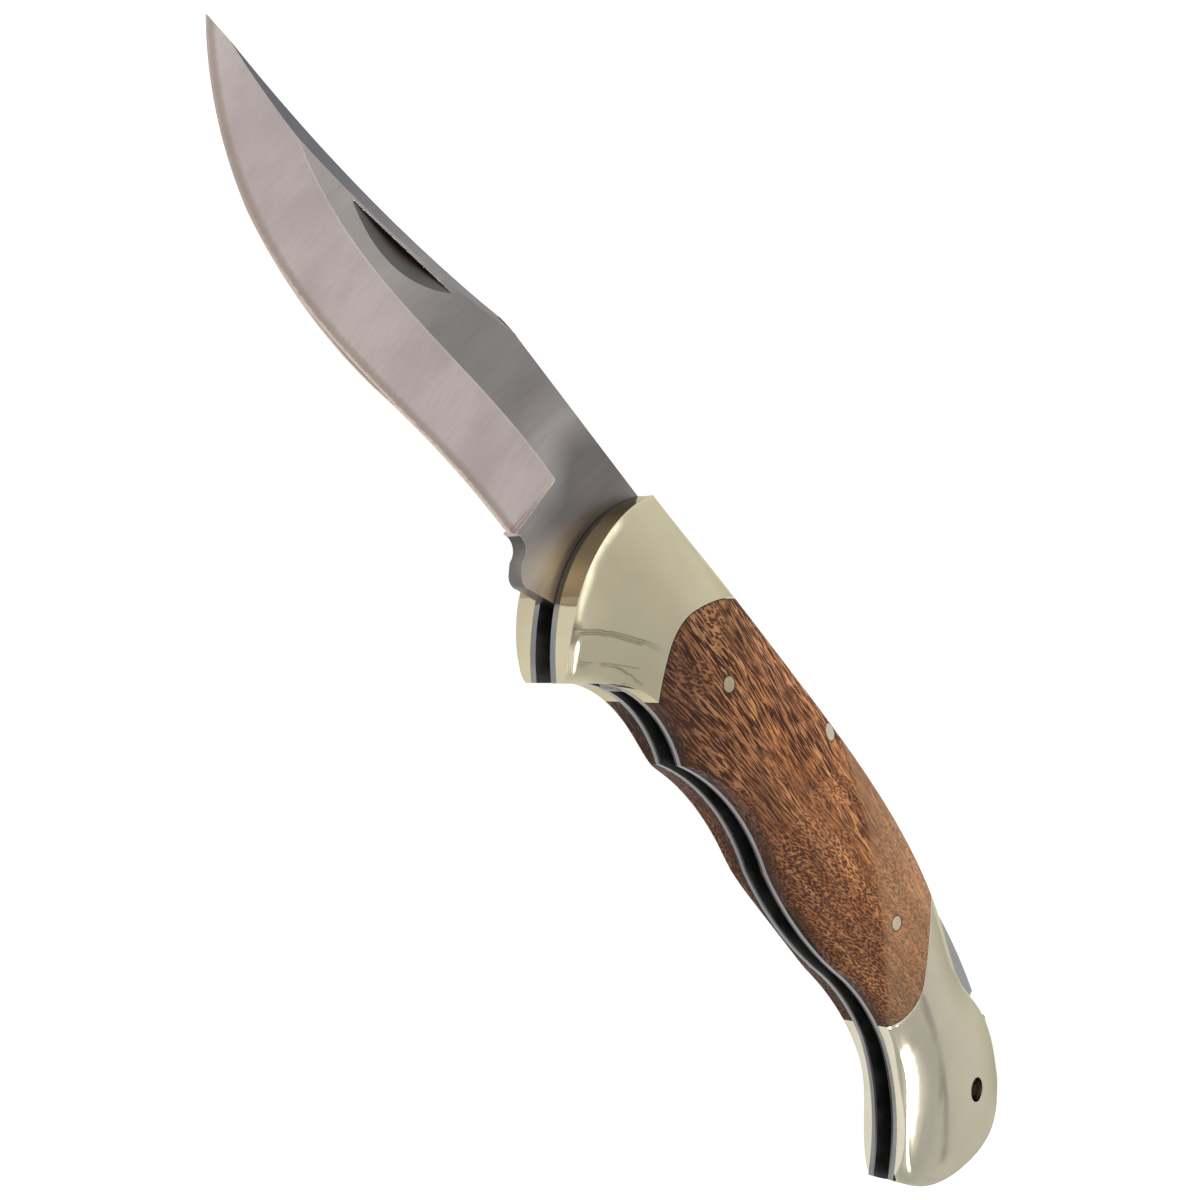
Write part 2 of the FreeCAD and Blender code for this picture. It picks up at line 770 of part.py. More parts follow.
def make_knife():
    """Every piece of the knife, one object each."""
    crown = make_crown()
    left = make_left_side(crown)
    right = [mirror_to_right(piece.Name.replace("_left", "_right"), piece) for piece in left]
    spacer_pin = size("spacer_pin_diameter")
    middle = [
        make_blade(),
        make_hidden_pin("pivot_pin", (ZERO, ZERO), size("pivot_diameter")),
        make_lock_bar(),
        make_lock_pin(crown),
        make_lock_spring(),
        make_butt_spacer(),
        make_hidden_pin("upper_spacer_pin", on_handle(UPPER_SPACER_PIN_SHARES), spacer_pin),
        make_hidden_pin("lower_spacer_pin", on_handle(LOWER_SPACER_PIN_SHARES), spacer_pin),
    ]
    return left + right + middle


def check_knife(pieces):
    """Stops on a failed feature, and on a piece that isn't one sound solid."""
    failed = [item.Name for item in document.Objects if {"Invalid", "Error"} & set(item.State)]
    for piece in pieces:
        shape = piece.Shape
        if shape.isNull() or not shape.isValid() or len(shape.Solids) != 1:
            failed.append(piece.Name)
    if failed:
        raise RuntimeError(f"these failed: {failed}")


def stand_on_origin(pieces):
    """Moves the knife so that the middle of its lowest level is the origin, and returns the move."""
    whole = FreeCAD.BoundBox()
    for piece in pieces:
        whole.add(piece.Shape.optimalBoundingBox(False, False))
    move = Vector(-whole.Center.x, -whole.Center.y, -whole.ZMin)
    for piece in pieces:
        own = piece.Placement
        piece.Placement = Placement(own.Base + move, own.Rotation)
    return move


def write_pieces(pieces):
    os.makedirs("parts", exist_ok=True)
    for piece in pieces:
        piece.Label = piece.Name
        piece.Shape.exportStep(f"parts/{piece.Label}.step")


def print_places(move):
    """Places of the axes in the finished frame, in millimetres."""
    marks = {
        "pivot": (ZERO, ZERO),
        "lock pin": on_handle(LOCK_PIN_SHARES),
        "lanyard hole": on_handle(LANYARD_SHARES),
    }
    for name, point in marks.items():
        spot = flat(point) + move
        print(f"{name}: x {spot.x:.4f} y {spot.y:.4f} z {spot.z:.4f}")


def main():
    pieces = make_knife()
    document.recompute()
    check_knife(pieces)
    move = stand_on_origin(pieces)
    write_pieces(pieces)
    print_places(move)


main()
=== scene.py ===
import math

import bpy
from mathutils import Matrix, Vector
from mathutils.bvhtree import BVHTree
from mathutils.geometry import barycentric_transform


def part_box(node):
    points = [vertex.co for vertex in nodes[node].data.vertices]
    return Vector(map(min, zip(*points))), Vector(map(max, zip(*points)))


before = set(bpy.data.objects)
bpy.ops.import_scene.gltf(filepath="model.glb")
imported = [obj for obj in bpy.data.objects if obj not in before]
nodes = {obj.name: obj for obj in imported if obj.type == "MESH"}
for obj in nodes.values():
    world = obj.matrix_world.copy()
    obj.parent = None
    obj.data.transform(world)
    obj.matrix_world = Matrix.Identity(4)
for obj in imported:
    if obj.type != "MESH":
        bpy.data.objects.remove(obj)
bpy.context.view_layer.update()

# Cells, depths, radii, waves and shifts are numbers of millimetres. Other lengths are in metres.
MM = 0.001

# Middle plane of the knife, and the height over it of the liners' outsides
MIDDLE_Z = 6.45 * MM
LINER_TOP = 2.17 * MM

# Sockets of a mix node, by what it mixes: its share, the two values and the output
MIX_SOCKETS = {
    "FLOAT": (0, 2, 3, 0),
    "VECTOR": (0, 4, 5, 1),
    "RGBA": (0, 6, 7, 2),
}

# Samples of rounded normals, and how far these agree with the plain ones: over the mask of an edge,
# and where they take over
BEVEL_SAMPLES = 6
EDGE_MASK = (0.995, 0.85)
EDGE_BLEND = (0.9995, 0.985)

# Roughness of every noise, and its usual spans, from its low values to its high ones
NOISE_ROUGHNESS = 0.55
CLOUD_SPAN = (0.3, 0.7)
DRIFT_SPAN = (0.2, 0.8)

# Multiplied by this, a place keeps only its x and y
FLATTEN = (1, 1, 0)


def grey(level):
    return (level, level, level)


def opaque(color):
    """A plain colour with full alpha, and anything else as it is."""
    return (*color, 1.0) if isinstance(color, tuple) else color


class Nodes:
    """A node tree, with short ways to add nodes to it."""

    def __init__(self, tree):
        self.tree = tree

    def add(self, kind, **settings):
        node = self.tree.nodes.new(kind)
        for name, value in settings.items():
            setattr(node, name, value)
        return node

    def feed(self, socket, value):
        """Links a socket, or sets its value."""
        if isinstance(value, bpy.types.NodeSocket):
            self.tree.links.new(value, socket)
        else:
            socket.default_value = value

    def feed_all(self, node, values):
        """Feeds the first inputs of a node, in order."""
        for socket, value in zip(node.inputs, values):
            self.feed(socket, value)

    def math(self, operation, *values):
        node = self.add("ShaderNodeMath", operation=operation)
        self.feed_all(node, values)
        return node.outputs[0]

    def vector(self, operation, *values, output="Vector"):
        node = self.add("ShaderNodeVectorMath", operation=operation)
        self.feed_all(node, values)
        return node.outputs[output]

    def axis(self, spot, letter):
        node = self.add("ShaderNodeSeparateXYZ")
        self.feed(node.inputs[0], spot)
        return node.outputs[letter]

    def fade(self, value, start, finish, low=0.0, high=1.0, kind="SMOOTHSTEP"):
        """Goes from low to high as the value goes from start to finish."""
        node = self.add("ShaderNodeMapRange", interpolation_type=kind)
        self.feed_all(node, (value, start, finish, low, high))
        return node.outputs[0]

    def ramp(self, value, stops):
        """A colour that goes through stops, each a place and a colour."""
        node = self.add("ShaderNodeValToRGB")
        self.feed(node.inputs[0], value)
        elements = node.color_ramp.elements
        while len(elements) < len(stops):
            elements.new(1.0)
        for element, (place, color) in zip(elements, stops):
            element.position = place
            element.color = opaque(color)
        return node.outputs[0]

    def blend(self, kind, share, first, second, **settings):
        """Goes from the first value to the second as the share goes from zero to one."""
        *inputs, output = MIX_SOCKETS[kind]
        node = self.add("ShaderNodeMix", data_type=kind, **settings)
        for index, value in zip(inputs, (share, first, second)):
            self.feed(node.inputs[index], value)
        return node.outputs[output]

    def mix(self, share, first, second, kind="MIX"):
        return self.blend("RGBA", share, opaque(first), opaque(second), blend_type=kind)

    def tinted(self, color, tone):
        """A colour multiplied by a tone."""
        return self.mix(1.0, color, tone, "MULTIPLY")


class Shader(Nodes):
    """A material with one surface shader."""

    def __init__(self, name):
        self.material = bpy.data.materials.new(name)
        self.material.use_nodes = True
        super().__init__(self.material.node_tree)
        self.surface = self.tree.nodes["Principled BSDF"]

    def set(self, **values):
        """Feeds inputs of the surface, with _ for a space in their names."""
        for name, value in values.items():
            self.feed(self.surface.inputs[name.replace("_", " ")], value)

    def spot(self):
        """A place on the surface, in the object's own coordinates."""
        return self.add("ShaderNodeTexCoord").outputs["Object"]

    def height(self, spot):
        """Distance from the middle plane of the knife."""
        return self.math("ABSOLUTE", self.math("SUBTRACT", self.axis(spot, "Z"), MIDDLE_Z))

    def cells(self, spot, size, turn=(0, 0, 0)):
        """Coordinates that count cells of a size, along axes turned by angles in degrees."""
        mapping = self.add("ShaderNodeMapping", vector_type="TEXTURE")
        self.feed(mapping.inputs["Vector"], spot)
        mapping.inputs["Scale"].default_value = [length * MM for length in size]
        mapping.inputs["Rotation"].default_value = [math.radians(angle) for angle in turn]
        return mapping.outputs["Vector"]

    def noise(self, cells, detail=3.0, output=0):
        """Soft noise of about one blotch in a cell, as a number or, at output 1, as a vector."""
        node = self.add("ShaderNodeTexNoise")
        self.feed(node.inputs["Vector"], cells)
        node.inputs["Scale"].default_value = 1.0
        node.inputs["Detail"].default_value = detail
        node.inputs["Roughness"].default_value = NOISE_ROUGHNESS
        return node.outputs[output]

    def voronoi(self, cells):
        """Distance to the nearest of scattered points, one in each cell."""
        node = self.add("ShaderNodeTexVoronoi")
        self.feed(node.inputs["Vector"], cells)
        node.inputs["Scale"].default_value = 1.0
        return node.outputs["Distance"]

    def bend(self, spot, cells, reach):
        """Moves a spot about by a noise, by up to half the reach each way."""
        shift = self.vector("SUBTRACT", self.noise(cells, detail=1.0, output=1), (0.5, 0.5, 0.5))
        return self.vector("MULTIPLY_ADD", shift, [length * MM for length in reach], spot)

    def drifting(self, value, spot, size, reach):
        """A value moved up and down by a slow noise, by up to a reach each way."""
        drift = self.noise(self.cells(spot, size), detail=1.0)
        return self.math("ADD", value, self.fade(drift, *DRIFT_SPAN, -reach, reach))

    def bump(self, height, depth, normal=None, strength=0.5):
        """Surface relief, with the depth of a height of one."""
        node = self.add("ShaderNodeBump")
        node.inputs["Strength"].default_value = strength
        node.inputs["Distance"].default_value = depth * MM
        self.feed(node.inputs["Height"], height)
        if normal:
            self.feed(node.inputs["Normal"], normal)
        return node.outputs["Normal"]

    def soft_edges(self, radius, all_over=False):
        """Normals that are rounded at the edges, or all over, and a mask of the edges."""
        bevel = self.add("ShaderNodeBevel", samples=BEVEL_SAMPLES)
        bevel.inputs["Radius"].default_value = radius * MM
        rounded = bevel.outputs["Normal"]
        plain = self.add("ShaderNodeNewGeometry").outputs["Normal"]
        agreement = self.vector("DOT_PRODUCT", rounded, plain, output="Value")
        mask = self.fade(agreement, *EDGE_MASK)
        if all_over:
            return rounded, mask
        share = self.fade(agreement, *EDGE_BLEND)
        return self.blend("VECTOR", share, plain, rounded), mask


# Wood

# Middle of the left scale, how much the grain closes up for each millimetre towards the butt, and
# how it waves. The right scale is cut from another place.
GRAIN_MIDDLE = (28 * MM, 5 * MM)
GRAIN_CLOSING = 0.012
WAVE_CELL = (18, 7, 7)
WAVE_REACH = (0, 2.4, 1.2)
SCALE_SHIFTS = {"left": (0, 0, 0), "right": (37, 11, 5)}

# Pores: long dashes, hairs and short flecks, each with its cell and the distances of its edge
DASH_CELL = (3.0, 0.2, 0.26)
DASH_EDGE = (0.53, 0.485)
HAIR_CELL = (6.0, 0.17, 0.26)
HAIR_EDGE = (0.41, 0.355)
HAIR_SHARE = 0.8
FLECK_CELL = (0.8, 0.24, 0.26)
FLECK_TURN = (0, 0, 14)
FLECK_EDGE = (0.56, 0.51)
FLECK_SHARE = 0.9
PORE_COLOR = (0.021, 0.0066, 0.0038)
PORE_DEPTH = 0.03
PORE_FIELD_CELL = (8, 2.2, 2.2)
PORE_FIELD = (0.3, 0.62, 0.86, 1.0)

# Where along the handle flecks take the place of dashes, and how unevenly
FLECKS_FRONT = (0.0, -7 * MM)
FLECKS_REAR = (18 * MM, 44 * MM)
FLECKS_SLANT = 0.9
FLECKS_DRIFT_CELL = (9, 6, 6)
FLECKS_DRIFT = 14 * MM

# Ground: streaks, broad bands, a fine mottle, and tones along and across the handle
STREAK_CELL = (24, 1.1, 1.1)
STREAK_COLORS = (
    (0.3, (0.135, 0.048, 0.018)),
    (0.5, (0.252, 0.101, 0.036)),
    (0.68, (0.378, 0.177, 0.072)),
)
BAND_CELL = (15, 4.5, 4.5)
BAND_TONES = ((0.32, (0.62, 0.55, 0.52)), (0.66, (1.16, 1.14, 1.12)))
MOTTLE_CELL = (0.9, 0.2, 0.2)
MOTTLE_SPAN = (0.5, 0.75, 0.0, 0.5)
MOTTLE_COLOR = (0.42, 0.2, 0.09)
LENGTH_SPAN = (-6 * MM, 82 * MM)
LENGTH_TONES = (
    (0.0, (0.56, 0.64, 0.72)),
    (0.25, (0.96, 0.96, 0.96)),
    (0.75, (1.0, 1.0, 1.0)),
    (1.0, (0.76, 0.74, 0.72)),
)
BREADTH_SPAN = (-4 * MM, 14 * MM)
BREADTH_TONES = ((0.0, grey(0.8)), (1.0, grey(1.38)))

# The painted sheen, a reflection of a bright panel on the rear of the spine side: the direction across
# its border, the border, its colour and what it leaves of the pores
SHEEN_ACROSS = (0.521, 0.854, 0.0)
SHEEN_BORDER = (29.2 * MM, 30.8 * MM)
SHEEN_COLOR = (0.232, 0.143, 0.075)
SHEEN_SHARE = 0.5
SHEEN_PORES = 0.6

# Dark oil stain, with painted shade in the band along the belly beside the slot: its heights over the
# liners, where it lies on the belly, its blotches and rings round the pins
STAIN_AND_SHADE_COLOR = (0.028, 0.011, 0.007)
STAIN_AND_SHADE_HEIGHTS = (LINER_TOP + 3.4 * MM, LINER_TOP + 0.4 * MM)
STAIN_AND_SHADE_BELLY = (3 * MM, -3 * MM, 0.3, 1.0)
STAIN_AND_SHADE_SHARE = 0.82
STAIN_EDGE_SHARE = 0.7
BLOTCH_CELL = (6, 3, 3)
BLOTCH_SPAN = (0.3, 0.6, 0.6, 1.0)
RING_OUTSIDE = 0.28 * MM
RING_INSIDE = 0.02 * MM

WOOD_EDGE = 0.25
WOOD_ROUGHNESS = (0.44, 0.65)
WOOD_SPECULAR = 0.12
STREAK_HEIGHT = 0.3


def pin_rings(wood, spot, pins):
    """A dark mask close round each pin, where wood and metal meet."""
    mask = 0.0
    flat = wood.vector("MULTIPLY", spot, FLATTEN)
    for pin in pins:
        low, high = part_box(pin)
        middle = (low + high) / 2
        radius = (high.x - low.x) / 2
        away = wood.vector("DISTANCE", flat, (middle.x, middle.y, 0), output="Value")
        near = wood.fade(away, radius + RING_OUTSIDE, radius + RING_INSIDE)
        mask = wood.math("MAXIMUM", near, mask)
    return mask


def grain_spot(wood, spot, shift):
    """Coordinates along and across the grain, which fans out towards the front and waves a little."""
    moved = wood.vector("ADD", spot, [length * MM for length in shift])
    wavy = wood.bend(moved, wood.cells(moved, WAVE_CELL), WAVE_REACH)
    along = wood.axis(wavy, "X")
    ahead = wood.math("SUBTRACT", along, GRAIN_MIDDLE[0])
    across = wood.math("SUBTRACT", wood.axis(wavy, "Y"), GRAIN_MIDDLE[1])
    closing = wood.math("MULTIPLY_ADD", ahead, GRAIN_CLOSING / MM, 1.0)
    fanned = wood.add("ShaderNodeCombineXYZ")
    wood.feed_all(fanned, (along, wood.math("MULTIPLY", across, closing), wood.axis(wavy, "Z")))
    return fanned.outputs[0]


def painted_sheen(wood, spot):
    """Mask of the painted sheen, a reflection that makes the rear of the spine side paler beyond a slanting
    line.
    """
    across = wood.vector("DOT_PRODUCT", spot, SHEEN_ACROSS, output="Value")
    return wood.fade(across, *SHEEN_BORDER)


def fleck_field(wood, spot):
    """Mask of where the pores are short: near the front joint, and over the rear."""
    along = wood.drifting(wood.axis(spot, "X"), spot, FLECKS_DRIFT_CELL, FLECKS_DRIFT)
    rise = wood.math("SUBTRACT", wood.axis(spot, "Y"), GRAIN_MIDDLE[1])
    behind = wood.math("SUBTRACT", along, wood.math("MULTIPLY", rise, FLECKS_SLANT))
    return wood.math("MAXIMUM", wood.fade(behind, *FLECKS_REAR), wood.fade(along, *FLECKS_FRONT))


def wood_pores(wood, grain, spot, sheen):
    """Mask of the pores: dashes and hairs over the middle, and flecks elsewhere."""
    dash = wood.fade(wood.voronoi(wood.cells(grain, DASH_CELL)), *DASH_EDGE)
    hair = wood.fade(wood.voronoi(wood.cells(grain, HAIR_CELL)), *HAIR_EDGE)
    fleck = wood.fade(wood.voronoi(wood.cells(grain, FLECK_CELL, FLECK_TURN)), *FLECK_EDGE)
    long = wood.math("MAXIMUM", dash, wood.math("MULTIPLY", hair, HAIR_SHARE))
    short = wood.math("MULTIPLY", fleck, FLECK_SHARE)
    pores = wood.blend("FLOAT", fleck_field(wood, spot), long, short)
    field = wood.fade(wood.noise(wood.cells(grain, PORE_FIELD_CELL), detail=2.0), *PORE_FIELD)
    kept = wood.math("MULTIPLY", field, wood.fade(sheen, 0.0, 1.0, 1.0, SHEEN_PORES))
    return wood.math("MULTIPLY", pores, kept)


def wood_ground(wood, grain, spot, sheen):
    """Reddish-brown ground with tan streaks, broad darker bands and a fine mottle, and the streaks alone."""
    streak = wood.noise(wood.cells(grain, STREAK_CELL), detail=4.0)
    band = wood.noise(wood.cells(grain, BAND_CELL), detail=2.0)
    mottle = wood.noise(wood.cells(grain, MOTTLE_CELL))
    color = wood.tinted(wood.ramp(streak, STREAK_COLORS), wood.ramp(band, BAND_TONES))
    color = wood.mix(wood.fade(mottle, *MOTTLE_SPAN), color, MOTTLE_COLOR)
    along = wood.fade(wood.axis(spot, "X"), *LENGTH_SPAN, kind="LINEAR")
    color = wood.tinted(color, wood.ramp(along, LENGTH_TONES))
    rise = wood.fade(wood.axis(spot, "Y"), *BREADTH_SPAN)
    color = wood.tinted(color, wood.ramp(rise, BREADTH_TONES))
    # The painted sheen, a reflection, is mixed in over the ground last
    return wood.mix(wood.math("MULTIPLY", sheen, SHEEN_SHARE), color, SHEEN_COLOR), streak


def stain_and_shade(wood, spot, pins, edge):
    """Where dark oil has gathered: along the belly, with painted shade beside the slot, round the pins and
    on the edges.
    """
    low = wood.fade(wood.height(spot), *STAIN_AND_SHADE_HEIGHTS)
    belly = wood.fade(wood.axis(spot, "Y"), *STAIN_AND_SHADE_BELLY)
    blotch = wood.fade(wood.noise(wood.cells(spot, BLOTCH_CELL)), *BLOTCH_SPAN)
    band = wood.math("MULTIPLY", wood.math("MULTIPLY", low, belly), blotch)
    dark = wood.math("MAXIMUM", wood.math("MULTIPLY", band, STAIN_AND_SHADE_SHARE), pin_rings(wood, spot, pins))
    return wood.math("MAXIMUM", dark, wood.math("MULTIPLY", edge, STAIN_EDGE_SHARE))


def hardwood(name, pins, shift):
    """Open-pored reddish-brown wood with dark pores that run along the handle."""
    wood = Shader(name)
    spot = wood.spot()
    grain = grain_spot(wood, spot, shift)
    sheen = painted_sheen(wood, spot)
    pore = wood_pores(wood, grain, spot, sheen)
    color, streak = wood_ground(wood, grain, spot, sheen)
    normal, edge = wood.soft_edges(WOOD_EDGE)
    color = wood.mix(pore, color, PORE_COLOR)
    color = wood.mix(stain_and_shade(wood, spot, pins, edge), color, STAIN_AND_SHADE_COLOR)
    relief = wood.math("SUBTRACT", wood.math("MULTIPLY", streak, STREAK_HEIGHT), pore)
    wood.set(
        Base_Color=color,
        Roughness=wood.fade(pore, 0.0, 1.0, *WOOD_ROUGHNESS),
        Specular_IOR_Level=WOOD_SPECULAR,
        Normal=wood.bump(relief, PORE_DEPTH, normal),
    )
    return wood.material


# Polished nickel silver

NICKEL_EDGE = 0.15
# Paler and hazier along the edges: the colour, its share and the roughness added
NICKEL_EDGE_COLOR = (0.8, 0.76, 0.62)
NICKEL_EDGE_SHARE = 0.25
NICKEL_EDGE_HAZE = 0.08
NICKEL_GLANCE = (0.65, 0.63, 0.52, 1.0)
NICKEL_CLOUD_CELL = (9, 9, 9)
NICKEL_CLOUD_SPAN = (0.35, 0.65)
SMUDGE_CELL = (2.5, 1.2, 1.8)
SMUDGE_TURN = (20, 10, 35)
SMUDGE_SPAN = (0.4, 0.75)
SMUDGE_HAZE = 0.03
SCRATCH_CELL = (9, 0.07, 0.07)
SCRATCH_TURN = (0, 0, 35)
SCRATCH_SPAN = (0.62, 0.8)
CROSS_CELL = (7, 0.06, 0.06)
CROSS_TURN = (15, 0, -50)
CROSS_SPAN = (0.64, 0.8)
SCRATCH_DEPTH = 0.0004
SCRATCH_STRENGTH = 0.35
PIT_CELL = (7, 7, 7)
PIT_EDGE = (0.024, 0.012)
PIT_COLOR = (0.09, 0.08, 0.06)
PIT_HEIGHT = -3.0

# Over this stretch towards the blade, the wide rounding of the front edge comes in
FRONT_EDGE_SPAN = (-10 * MM, -13 * MM)

# Faces that a front bolster turns to the blade: the most that their normal's x is, and the height
# under which they belong to the guard
FACE_NORMAL = -0.6
GUARD_TOP = -4.2 * MM


def polished(name, color, tint, roughness, front_round=None, soft=None):
    """Mirror-polished metal with faint smudges, hair scratches and a few pits.

    With a front round, the edge towards the blade is softened by it. With a soft
    length, the whole surface is smoothed over that length.
    """
    metal = Shader(name)
    spot = metal.spot()
    cloud = metal.noise(metal.cells(spot, NICKEL_CLOUD_CELL))
    smudge = metal.noise(metal.cells(spot, SMUDGE_CELL, SMUDGE_TURN), detail=4.0)
    scratch = metal.noise(metal.cells(spot, SCRATCH_CELL, SCRATCH_TURN), detail=1.0)
    cross = metal.noise(metal.cells(spot, CROSS_CELL, CROSS_TURN), detail=1.0)
    pit = metal.fade(metal.voronoi(metal.cells(spot, PIT_CELL)), *PIT_EDGE)
    normal, edge = metal.soft_edges(NICKEL_EDGE)
    if soft:
        wide, rim = metal.soft_edges(soft, all_over=True)
        normal = metal.blend("VECTOR", rim, wide, normal)
    if front_round:
        ahead = metal.fade(metal.axis(spot, "X"), *FRONT_EDGE_SPAN)
        rounded, _ = metal.soft_edges(front_round)
        normal = metal.blend("VECTOR", ahead, normal, rounded)
    shade = metal.mix(metal.fade(cloud, *NICKEL_CLOUD_SPAN), color, tint)
    shade = metal.mix(metal.math("MULTIPLY", edge, NICKEL_EDGE_SHARE), shade, NICKEL_EDGE_COLOR)
    haze = metal.fade(smudge, *SMUDGE_SPAN, roughness, roughness + SMUDGE_HAZE)
    lines = metal.math("ADD", metal.fade(scratch, *SCRATCH_SPAN), metal.fade(cross, *CROSS_SPAN))
    lines = metal.math("ADD", lines, metal.math("MULTIPLY", pit, PIT_HEIGHT))
    metal.set(
        Base_Color=metal.mix(pit, shade, PIT_COLOR),
        Metallic=1.0,
        Roughness=metal.math("ADD", haze, metal.math("MULTIPLY", edge, NICKEL_EDGE_HAZE)),
        Specular_Tint=NICKEL_GLANCE,
        Normal=metal.bump(lines, SCRATCH_DEPTH, normal, SCRATCH_STRENGTH),
    )
    return metal.material


# Steel

STEEL_EDGE = 0.08
# A highlight painted along the edges: its colour and its share
STEEL_EDGE_HIGHLIGHT = (0.72, 0.69, 0.66)
STEEL_EDGE_HIGHLIGHT_SHARE = 0.4
GRIND_CLOUD_CELL = (16, 6, 6)
COARSE_CELL = (14, 0.3, 0.3)
COARSE_SPAN = (0.35, 0.7, 0.0, 0.22)
COARSE_DARKNESS = 0.72
FINE_CELL = (6, 0.07, 0.07)
FINE_ROUGHNESS = (-0.05, 0.07)

# Cutting edge, as heights over the middle plane: a grey shoulder of painted shade, a painted highlight on
# the whetted strip, which is fainter near the point, and a painted highlight on the line where the bevel
# begins
RIPPLE_CELL = (0.5, 0.5, 0.5)
RIPPLE = 0.012 * MM
SHOULDER = (0.27 * MM, 0.18 * MM, 0.0, 0.6)
SHOULDER_SHADE_COLOR = (0.25, 0.195, 0.16)
WHETTED = (0.15 * MM, 0.12 * MM)
WHETTED_ALONG = (-84 * MM, -66 * MM, 0.15, 1.0)
WHETTED_HIGHLIGHT_COLOR = (0.56, 0.46, 0.38)
BEVEL_TOP = (1.11 * MM, 1.15 * MM, 0.0, 0.4)
BEVEL_TOP_HIGHLIGHT_COLOR = (0.56, 0.51, 0.49)

# Flat: lighter and darker fields along it, and a painted highlight as a pale patch low on the ricasso
FLAT_SPAN = (-90 * MM, -15 * MM)
FLAT_FIELDS = (
    (0.2, (1.36, 1.33, 1.32)),
    (0.36, (1.16, 1.15, 1.14)),
    (0.48, (0.84, 0.85, 0.85)),
    (0.66, (0.8, 0.8, 0.8)),
    (0.75, (1.2, 1.2, 1.2)),
    (0.82, (0.55, 0.55, 0.56)),
    (0.89, (0.62, 0.61, 0.61)),
    (0.97, (1.0, 0.95, 0.9)),
)
FLAT_DRIFT_CELL = (20, 14, 14)
FLAT_DRIFT = 3 * MM
PATCH_ALONG = (-32 * MM, -26 * MM)
PATCH_RISE = (4 * MM, -4 * MM)
PATCH_HIGHLIGHT_SHARE = 0.6
PATCH_HIGHLIGHT_COLOR = (0.61, 0.545, 0.48)

# Swedge and choil: tones over a stretch along the blade
SWEDGE_SPAN = (-86 * MM, -54 * MM)
SWEDGE_TONES = ((0.0, (0.75, 0.76, 0.82)), (1.0, (1.5, 1.48, 1.45)))
CHOIL_SPAN = (-31 * MM, -26.5 * MM)
CHOIL_TONES = ((0.0, (0.28, 0.27, 0.26)), (1.0, (1.25, 1.22, 1.2)))

# Nail nick, painted darker as shade towards its deep side, by its depth as heights over the middle plane
NICK_TURN = (0, 0, 77)
NICK_HEIGHTS = (1.1 * MM, 0.7 * MM)
NICK_SHADE_COLORS = (
    (0.0, (0.138, 0.132, 0.128)),
    (0.5, (0.1, 0.094, 0.09)),
    (0.85, (0.055, 0.039, 0.032)),
    (1.0, (0.045, 0.03, 0.024)),
)
NICK_CLOUD = (0.06, 0.057, 0.055)
NICK_CLOUD_SHARE = 0.35
NICK_ROUGHNESS = (0.34, 0.46)
NICK_DEPTH = 0.003
NICK_STRENGTH = 0.4

# Liner edges: the heights of the painted shade towards the slot, and where it begins and ends
SLOT_SHADE_HEIGHTS = (1.66 * MM, 1.5 * MM, 0.0, 0.92)
SLOT_SHADE_FRONT = (-3 * MM, 3 * MM)
SLOT_SHADE_REAR = (84 * MM, 78 * MM)
SLOT_SHADE_COLOR = grey(0.022)

# Steel inside the slot, painted near black as shade
DULL_SHADE_COLORS = ((0.3, grey(0.016)), (0.75, (0.06, 0.057, 0.054)))
DULL_CELL = (4, 2, 2)
DULL_LINE_CELL = (9, 0.12, 0.12)
DULL_LINE_DEPTH = 0.004
DULL_METALLIC = 0.6
DULL_ROUGHNESS = (0.45, 0.7)

# Pin ends: scratches, clouds, and the rim by its distance from the middle, as a share of the width
PIN_SCRATCH_CELL = (3, 0.05, 0.05)
PIN_SCRATCH_TURN = (0, 0, 30)
PIN_CROSS_CELL = (3, 0.06, 0.06)
PIN_CROSS_TURN = (0, 0, -40)
PIN_SCRATCH_DEPTH = 0.003
PIN_CLOUD_CELL = (0.8, 0.8, 0.8)
PIN_ROUGHNESS = (0.7, 1.3, 0.26, 0.42)
PIN_MIDDLE = (0.5, 0.5, 0)
PIN_RIM = (0.43, 0.49)
PIN_RIM_COLOR = (0.2, 0.16, 0.11)
PIN_RIM_SHARE = 0.6


def steel_marks(steel, spot, turn):
    """Clouds, coarse marks and fine marks of a grinding wheel that ran along one direction."""
    cloud = steel.noise(steel.cells(spot, GRIND_CLOUD_CELL, turn))
    coarse = steel.noise(steel.cells(spot, COARSE_CELL, turn))
    fine = steel.noise(steel.cells(spot, FINE_CELL, turn), detail=2.0)
    return cloud, coarse, fine


def satin_steel(name, color, tint, roughness, line_depth, turn=(0, 0, 0), tone=None, metallic=1.0):
    """Ground steel: fine marks along one direction, soft clouds and a highlight painted along the edges.

    The tone, if any, is a function that colours it further from the shader, its spot and its colour.
    """
    steel = Shader(name)
    spot = steel.spot()
    cloud, coarse, fine = steel_marks(steel, spot, turn)
    normal, edge = steel.soft_edges(STEEL_EDGE)
    shade = steel.mix(steel.fade(cloud, *CLOUD_SPAN), color, tint)
    darker = tuple(channel * COARSE_DARKNESS for channel in color)
    shade = steel.mix(steel.fade(coarse, *COARSE_SPAN), shade, darker)
    if tone:
        shade = tone(steel, spot, shade)
    smooth, rough = (roughness + change for change in FINE_ROUGHNESS)
    steel.set(
        Base_Color=steel.mix(steel.math("MULTIPLY", edge, STEEL_EDGE_HIGHLIGHT_SHARE), shade, STEEL_EDGE_HIGHLIGHT),
        Metallic=metallic,
        Roughness=steel.fade(fine, *CLOUD_SPAN, smooth, rough),
        Normal=steel.bump(steel.math("ADD", fine, coarse), line_depth, normal),
    )
    return steel.material


